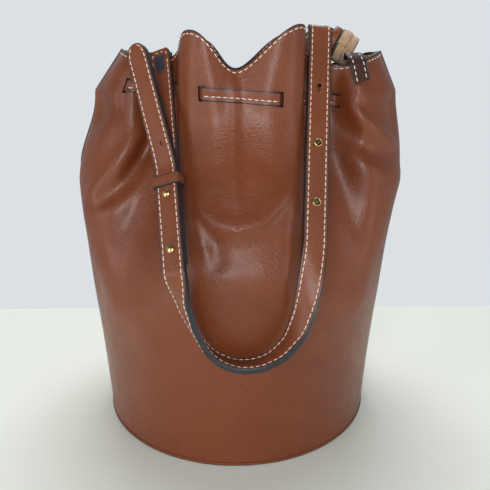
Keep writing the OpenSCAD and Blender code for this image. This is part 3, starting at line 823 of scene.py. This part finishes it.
def hole_cutter(at, down, face, r, slit):
    """Round hole, and the slit that lets a stud's head through."""
    side = np.cross(face, down)
    pts, faces = [], []
    ring = [(r * math.cos(a), r * math.sin(a)) for a in np.linspace(0, 2 * math.pi, 25)[:-1]]
    if slit:
        ring = [(x, y) for x, y in ring if not (x > 0 and abs(y) < .4)]
        first = next(i for i, (x, y) in enumerate(ring) if y > 0 and x > 0)
        ring = ring[first:] + ring[:first] + [(5.4, -.22), (5.4, .22)]
    for h in (-6, 6):
        pts += [at + down * x + side * y + face * h for x, y in ring]
    n = len(ring)
    faces = [tuple(range(n)), tuple(reversed(range(n, 2 * n)))]
    faces += [(i, (i + 1) % n, n + (i + 1) % n, n + i) for i in range(n)]
    return pts, faces


cut_pts, cut_faces = [], []
for at, down, face, r, slit in (
        [(on_left(left_hole, stack), left_down, left_face, 1.9, True),
         (on_right(right_hole), right_down, right_face, 1.9, True)]
        + [(on_left(d, stack), left_down, left_face, 1.6, False) for d in left_studs]
        + [(on_right(d), right_down, right_face, 1.6, False) for d in right_studs]):
    p, f = hole_cutter(at, down, face, r, slit)
    base_n = len(cut_pts)
    cut_pts += list(p)
    cut_faces += [tuple(base_n + i for i in g) for g in f]
cutter = make("hole_cutter", cut_pts, cut_faces, [STRAP, EDGES], [1] * len(cut_faces), "strap", 0)
straps = {}
for name, (node, prof) in lay.items():
    obj = ribbon(name, line, across, faces_out, prof, [STRAP, EDGES], body="strap", width=tip_width)
    mod = obj.modifiers.new("holes", "BOOLEAN")
    mod.object = cutter
    mod.operation = "DIFFERENCE"
    mod.solver = "EXACT"
    bpy.context.view_layer.update()
    cut = bpy.data.meshes.new_from_object(obj.evaluated_get(bpy.context.evaluated_depsgraph_get()))
    obj.modifiers.clear()
    obj.data = cut
    cut.name = name
    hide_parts(node)
    straps[name] = obj
bpy.data.objects.remove(cutter, do_unlink=True)

for sgn in (1, -1):
    surface = line + faces_out * sgn * strap_half
    for side in (1, -1):
        u = np.minimum(row_u, np.maximum(half * tip_width - 2.7, 0))
        p = surface + across * (side * u)[:, None]
        sel = half * tip_width > 3.6
        stitches("strap_stitches", p[sel], faces_out[sel] * sgn, length=4.2, lift=.02)

# Chape under the strap's end, with a rounded fold at its top
chape_len = left_studs[1] + 12
bend = np.linspace(np.pi / 2 * .93, 0, 7)
d = np.concatenate([-CHAPE_T / 2 * np.sin(bend), np.linspace(1, 8, 12), np.linspace(10, chape_len, 68)])
depth = np.concatenate([np.cos(bend), np.ones(80)])
mid = on_left(0) + left_down * d[:, None]
n = len(d)
w, h = half, CHAPE_T / 2
full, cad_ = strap_profile(w, 0, h, (row_u, -row_u))
low, _ = strap_profile(w, 0, -h, ())
prof = (full + [(x, y) for x, y in reversed(low)][1:-1],
        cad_[:-1] + [EDGE] * 4 + [FACE] * (len(low) - 10) + [EDGE] * 4)
prof = (prof[0], (prof[1] + [EDGE] * len(prof[0]))[:len(prof[0])])
corner_cut = np.clip((7 - d) / 8.1, 0, 1)
arch_width = 1 - .5 * (1 - np.sqrt(1 - corner_cut ** 2 * .98))
chape = ribbon("chape_leather", mid, np.tile(left_side, (n, 1)), np.tile(left_face, (n, 1)),
               prof, [STRAP, EDGES], body="strap", depth=depth, width=arch_width)
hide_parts("left_chape")
dd = np.linspace(8.5, chape_len - 3, 90)
for side in (1, -1):
    for sgn in (1, -1):
        p = on_left(0, sgn * h) + left_down * dd[:, None] + left_side * side * row_u
        stitches("chape_stitches", p, np.tile(left_face * sgn, (90, 1)), length=4.2, lift=.02)
arch = np.linspace(0, np.pi, 12)
p = (on_left(0, h) + left_down * (8 - 5.8 * np.sqrt(np.sin(arch)))[:, None]
     + left_side * (row_u * np.cos(arch))[:, None])
stitches("chape_stitches", p, np.tile(left_face, (12, 1)), pitch=4.6, length=3.6, lift=.02)

# Small leather patch on the chape
outline = [(0, 0), (9, 0), (12, .3), (14.6, 1.4), (15.9, 3.4), (15.8, 5.6), (14.4, 7.3), (12, 8), (0, 8)]
pts, n = [], len(outline)
mid_xy = np.array([8, 4])
for z, grow in ((.05, 0), (.55, 0), (.8, -.35)):
    for x, y in outline:
        q = np.array([x, y]) + unit(np.array([x, y]) - mid_xy) * grow
        pts.append(on_left(6 + q[0], h + z) + left_side * (q[1] - 4))
faces = [(j * n + i, j * n + (i + 1) % n, (j + 1) * n + (i + 1) % n, (j + 1) * n + i)
         for j in range(2) for i in range(n)]
faces += [tuple(reversed(range(n))), tuple(2 * n + i for i in range(n))]
patch = make("navy_patch", pts, faces, [NAVY], body="strap", angle=30)
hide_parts("chape_patch")


def band(name, points, sides, mats, node, body, thick=CHAPE_T, per=8, group=None,
         stitch_from=0, wide=STRAP_W):
    """A flat strap through a few points, stitched on both faces."""
    w = wide / 2
    row_u = w - 2.7
    mid = smooth_line(points, per)
    side = smooth_line(sides, per)
    t = tangents(mid)
    side = unit(side - (side * t).sum(1, keepdims=True) * t)
    out = unit(np.cross(t, side))
    h = thick / 2
    prof = ([(w, -h + .45), (w, h - .45), (w - .45, h), (w - .9, h), (row_u + 1, h + .05),
             (row_u + .4, h - .12), (row_u - .4, h - .12), (row_u - 1, h + .05), (0, h + .1),
             (-row_u + 1, h + .05), (-row_u + .4, h - .12), (-row_u - .4, h - .12),
             (-row_u - 1, h + .05), (-w + .9, h), (-w + .45, h), (-w, h - .45), (-w, -h + .45),
             (-w + .45, -h), (-w + .9, -h), (w - .9, -h), (w - .45, -h)],
            [EDGE] * 3 + [FACE] * 10 + [EDGE] * 3 + [EDGE] * 2 + [FACE] + [EDGE] * 2)
    prof = (prof[0], (prof[1] + [EDGE] * 30)[:len(prof[0])])
    obj = ribbon(name, mid, side, out, prof, mats, body=body)
    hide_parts(node)
    if group:
        cutoff = run_of(mid) >= stitch_from
        for s in (1, -1):
            for f in (1, -1):
                stitches(group, (mid + side * s * row_u + out * f * h)[cutoff],
                         (out * f)[cutoff], length=4.2, lift=.02)
    return obj


def anchor_points(x, k):
    inset = FACING_T + CHAPE_T / 2 + .5 + LEATHER_T + .2
    inset = FACING_T + CHAPE_T / 2 + .3 + .2 + LEATHER_T + GAP
    y = max(neck_at(np.array(float(k)))[1], wall_mid(k, NECK_Z - 18)[1])
    return [[x, y + inset, NECK_Z - 18], [x, y + inset, NECK_Z + 4],
            [x, rim_at(np.array(float(k)))[1] + inset + 1.5, float(rim_z(np.array(float(k)))) + 3]]


away = STRAP_W / 2 * math.sin(math.radians(left_turn)) + CHAPE_T + .1
left_x = left_pivot[0]
pts = anchor_points(left_x, 12) + [left_pivot + [0, away + .6, -5], left_pivot + [0, away, -1]]
band("left_anchor_leather", pts, [[1, 0, 0]] * len(pts), [STRAP, EDGES], "left_anchor", "bag",
     group="anchor_stitches")

# ------------------------------------------------------- knot at the right end

knot_at = right_pivot + [19.5, 12.5, -15]
knot_dir = unit([.86, -.16, -.48])
knot_bore = STRAP_W / 2 + .8
turn_r = STRAP_W / 2 + 1.5
turn_end = 90 - math.degrees(math.atan2(-knot_dir[2], knot_dir[0]))
turn_mid = (knot_at - 11.4 * knot_dir
            - turn_r * np.array([math.cos(math.radians(turn_end)), 0, math.sin(math.radians(turn_end))]))
angles = [180, 150, 120, 90, turn_end]
ring = [turn_mid + [turn_r * math.cos(math.radians(a)), -3 * (a - turn_end) / 120,
                    turn_r * math.sin(math.radians(a))] for a in angles]
foot = anchor_points(ring[0][0], 4)
end_side = [-math.cos(math.radians(turn_end)), 0, -math.sin(math.radians(turn_end))]
sides = [[1, 0, 0]] * 3 + [[-math.cos(math.radians(a)), 0, -math.sin(math.radians(a))]
                           for a in angles] + [end_side]
band("right_anchor_leather", foot + ring + [knot_at + 11.4 * knot_dir], sides, [STRAP, EDGES],
     "right_anchor", "bag", group="anchor_stitches")

kx = unit(np.cross([0, 1.0, 0], knot_dir))
ky = np.cross(knot_dir, kx)


def wrap(name, at, wide, thick, mats, tilt=0.0, turns=1.12, start=200, r0=knot_bore, edge=.5,
         lean=0.0, step=0.0):
    """A strip wound round the knot's core; its end laps over its start."""
    a = np.radians(start + np.linspace(0, 360 * turns, 110))
    lap = step * np.clip((np.degrees(a) - start - 300) / 60, 0, 1)
    radial = kx * np.cos(a)[:, None] + ky * np.sin(a)[:, None]
    r = r0 + thick / 2 + lap
    mid = (knot_at + knot_dir * (at + wide / 2 + tilt * np.sin(a + lean))[:, None]
           + radial * r[:, None])
    t = tangents(mid)
    across = unit(knot_dir - (t @ knot_dir)[:, None] * t)
    out = np.cross(across, t)
    out *= np.where((out * radial).sum(1, keepdims=True) > 0, 1, -1)
    w, h = wide / 2, thick / 2
    prof = ([(w, -h), (w, h - edge), (w - edge * .35, h - edge * .3), (w - edge, h), (0, h + .25),
             (-w + edge, h), (-w + edge * .35, h - edge * .3), (-w, h - edge), (-w, -h)],
            [EDGE, EDGE, EDGE, FACE, FACE, EDGE, EDGE, EDGE, FACE])
    return ribbon(name, mid, across, out, prof, mats)


knot_parts = [
    wrap("knot_leather_wrap", -11, 7.0, 2.3, [STRAP, EDGES], tilt=.5, start=150, step=0),
    wrap("knot_dark_wrap", -4.1, 3.2, 3.0, [DARK, EDGES], tilt=.4, start=130, turns=1.0),
    wrap("knot_suede_wrap_1", -2.4, 7.4, 3.0, [SUEDE, SUEDE], tilt=.9, start=215, edge=.9,
         turns=1.15, step=1.2),
    wrap("knot_suede_wrap_2", 4.6, 7.2, 2.3, [SUEDE, SUEDE], tilt=.6, start=250, edge=.9,
         turns=1.15, lean=.8, step=.4),
]
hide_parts("strap_knot")

tail_root = knot_at + [7, -5.4 - knot_bore, -9.8]
rim3 = rim_at(np.array(3.0))
rz3 = float(rim_z(np.array(3.0)))
tail_top = np.array([rim3[0] - 4, rim3[1] - 5, rz3 + 6])
out_y = min(wall_mid(3, rz3 - 21)[1], rim3[1]) - 6
pts = [tail_root, tail_top, [tail_top[0] + 3, out_y, tail_top[2] - 7],
       [tail_top[0] + 7, out_y, tail_top[2] - 21]]
# The tail wears the darkened tail material: its dark colour is painted shade, not a different leather
band("strap_tail_leather", pts, [[-1, .1, 0]] * 4, [TAIL_PAINTED_SHADE, EDGES], "strap_tail", "tail",
     group="tail_stitches", stitch_from=3, wide=13)

# -------------------------------------------------------------------- keeper

lo, hi = -CHAPE_T / 2 - .3 - keeper_t / 2, stack + strap_half + .3 + keeper_t / 2
side_w = STRAP_W / 2 + .3 + keeper_t / 2
corner = 1.3
path = []
for cx, cy, a0 in ((side_w - corner, hi - corner, 0), (-side_w + corner, hi - corner, 90),
                   (-side_w + corner, lo + corner, 180), (side_w - corner, lo + corner, 270)):
    for a in np.radians(a0 + np.linspace(0, 90, 7)):
        path.append((cx + corner * math.cos(a), cy + corner * math.sin(a),
                     math.cos(a), math.sin(a)))
dense = []
for i in range(len(path)):
    p, q = np.array(path[i]), np.array(path[(i + 1) % len(path)])
    gap = np.hypot(*(q - p)[:2])
    for f in np.arange(max(1, int(gap / 2))) / max(1, int(gap / 2)):
        dense.append(p + (q - p) * f)
dense = np.array(dense)
mid = on_left(keeper_d) + left_side * dense[:, :1] + left_face * dense[:, 1:2]
out = unit(left_side * dense[:, 2:3] + left_face * dense[:, 3:4])
across = np.tile(left_down, (len(dense), 1))
w, h = keeper_w / 2, keeper_t / 2
prof = ([(w, -h), (w, h - .4), (w - .4, h), (w - .9, h), (0, h + .12), (-w + .9, h),
         (-w + .4, h), (-w, h - .4), (-w, -h)],
        [EDGE, EDGE, EDGE, FACE, FACE, EDGE, EDGE, EDGE, FACE])
keeper = ribbon("keeper_leather", mid, across, out, prof, [STRAP, EDGES], closed=True, body="keeper")
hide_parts("keeper_loop")

# ------------------------------------------------------- rings of the ring studs

rings_pts, rings_faces = [], []
lathe = [(1.5, 0), (3.5, 0), (3.5, .75), (3.35, 1.15), (3.05, 1.38), (2.75, 1.4), (2.5, 1.2),
         (2.4, .8), (2.3, .15), (1.5, .12)]
for d in right_studs:
    at = on_right(d, -strap_half - .05)
    side = np.cross(-right_face, right_down)
    first, n = len(rings_pts), 40
    for r, z in lathe:
        for a in np.linspace(0, 2 * np.pi, n + 1)[:-1]:
            rings_pts.append(at + (right_down * math.cos(a) + side * math.sin(a)) * r
                             - right_face * z)
    for j in range(len(lathe)):
        j2 = (j + 1) % len(lathe)
        rings_faces += [(first + j * n + i, first + j * n + (i + 1) % n,
                         first + j2 * n + (i + 1) % n, first + j2 * n + i) for i in range(n)]
# The inner wall and floor of each ring's groove take the dark edge paint material: painted shade in the
# recess of the brass ring
ring_kinds = [0] * (7 * n) + [1] * (2 * n) + [0] * n
ring_studs = make("ring_stud_rings", rings_pts, rings_faces, [BRASS, EDGES],
                  ring_kinds * len(right_studs), body="strap", angle=50)
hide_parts("right_ring_studs")

# -------------------------------------------------------------------- thread

THREAD_BODY = {"rim_stitches": "bag", "drawstring_stitches": "bag", "anchor_stitches": "bag",
               "strap_stitches": "strap", "chape_stitches": "strap", "tail_stitches": "tail"}
for group, (verts, faces) in THREADS.items():
    make(group, verts, faces, [THREAD], body=THREAD_BODY[group], angle=0)

# ----------------------------------------------------- the rest of the frame

LOOKS = {"base_board": BOARD, "base_lining": LINING, "left_stud_heads": BRASS,
         "left_stud_bases": BRASS, "right_stud_screws": BRASS,
         "right_stud_caps": BRASS}
for node, mat in LOOKS.items():
    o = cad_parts[node]
    o.data.materials.clear()
    o.data.materials.append(mat)
    o.data.polygons.foreach_set("use_smooth", np.ones(len(o.data.polygons), dtype=bool))
    o.data.set_sharp_from_angle(angle=math.radians(32))

# ------------------------------------------------------- floor, light, camera

m = Mat("floor_pale", srgb(238, 243, 234), .75)
floor_mesh = bpy.data.meshes.new("floor")
W, NEAR, FAR, DEEP = 1.8, -1.6, .21, -.03
corners = [(-W, NEAR), (W, NEAR), (W, FAR), (-W, FAR)]
floor_mesh.from_pydata([(x, y, z) for z in (DEEP, 0) for x, y in corners], [],
                       [(3, 2, 1, 0), (4, 5, 6, 7)]
                       + [(i, (i + 1) % 4, 4 + (i + 1) % 4, 4 + i) for i in range(4)])
floor_mesh.materials.append(m.m)
floor = bpy.data.objects.new("floor", floor_mesh)
floor.location.z = -.0004
bpy.context.scene.collection.objects.link(floor)


world = bpy.data.worlds.new("studio")
bpy.context.scene.world = world
world.use_nodes = True
wn = world.node_tree.nodes["Background"]
wn.inputs["Strength"].default_value = .5
way = world.node_tree.nodes.new("ShaderNodeTexCoord")
up = world.node_tree.nodes.new("ShaderNodeSeparateXYZ")
sky = world.node_tree.nodes.new("ShaderNodeValToRGB")
sky.color_ramp.elements[0].position = .15
sky.color_ramp.elements[0].color = (.85, .88, .92, 1)
sky.color_ramp.elements[1].position = .75
sky.color_ramp.elements[1].color = (.2, .21, .22, 1)
world.node_tree.links.new(way.outputs["Generated"], up.inputs[0])
world.node_tree.links.new(up.outputs["Z"], sky.inputs[0])
world.node_tree.links.new(sky.outputs[0], wn.inputs["Color"])
seen = world.node_tree.nodes.new("ShaderNodeBackground")
seen.inputs["Color"].default_value = srgb(219, 224, 228)
rays = world.node_tree.nodes.new("ShaderNodeLightPath")
both = world.node_tree.nodes.new("ShaderNodeMixShader")
world.node_tree.links.new(rays.outputs["Is Camera Ray"], both.inputs[0])
world.node_tree.links.new(wn.outputs[0], both.inputs[1])
world.node_tree.links.new(seen.outputs[0], both.inputs[2])
world.node_tree.links.new(both.outputs[0], world.node_tree.nodes["World Output"].inputs[0])


def area(name, at, aim, size, power, color=(1, 1, 1)):
    data = bpy.data.lights.new(name, "AREA")
    data.shape = "RECTANGLE"
    data.size, data.size_y = size
    data.energy = power
    data.color = color
    obj = bpy.data.objects.new(name, data)
    obj.location = at
    obj.rotation_euler = (Vector(aim) - Vector(at)).to_track_quat("-Z", "Y").to_euler()
    bpy.context.scene.collection.objects.link(obj)


area("key", (-.15, -1.4, .62), (0, 0, .18), (.6, .45), 10)
area("top", (0, .75, 1.7), (0, 0, 0), (1.2, 1.2), 24)
area("window", (-1.3, -.9, .45), (0, 0, .18), (.6, .9), 5)
area("fill", (1.3, -.9, .45), (0, 0, .18), (.6, .9), 3.5)

cam_data = bpy.data.cameras.new("camera")
cam_data.lens, cam_data.sensor_width = 42.24, 36
cam = bpy.data.objects.new("camera", cam_data)
cam.location = (0, -.5464, .3301)
cam.rotation_euler = (math.radians(90 - 17.41), 0, -.0151)
bpy.context.scene.collection.objects.link(cam)
bpy.context.scene.camera = cam
bpy.context.scene.view_settings.view_transform = "Standard"

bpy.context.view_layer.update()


def plain(b):
    return [[float(x) for x in v] for v in b]
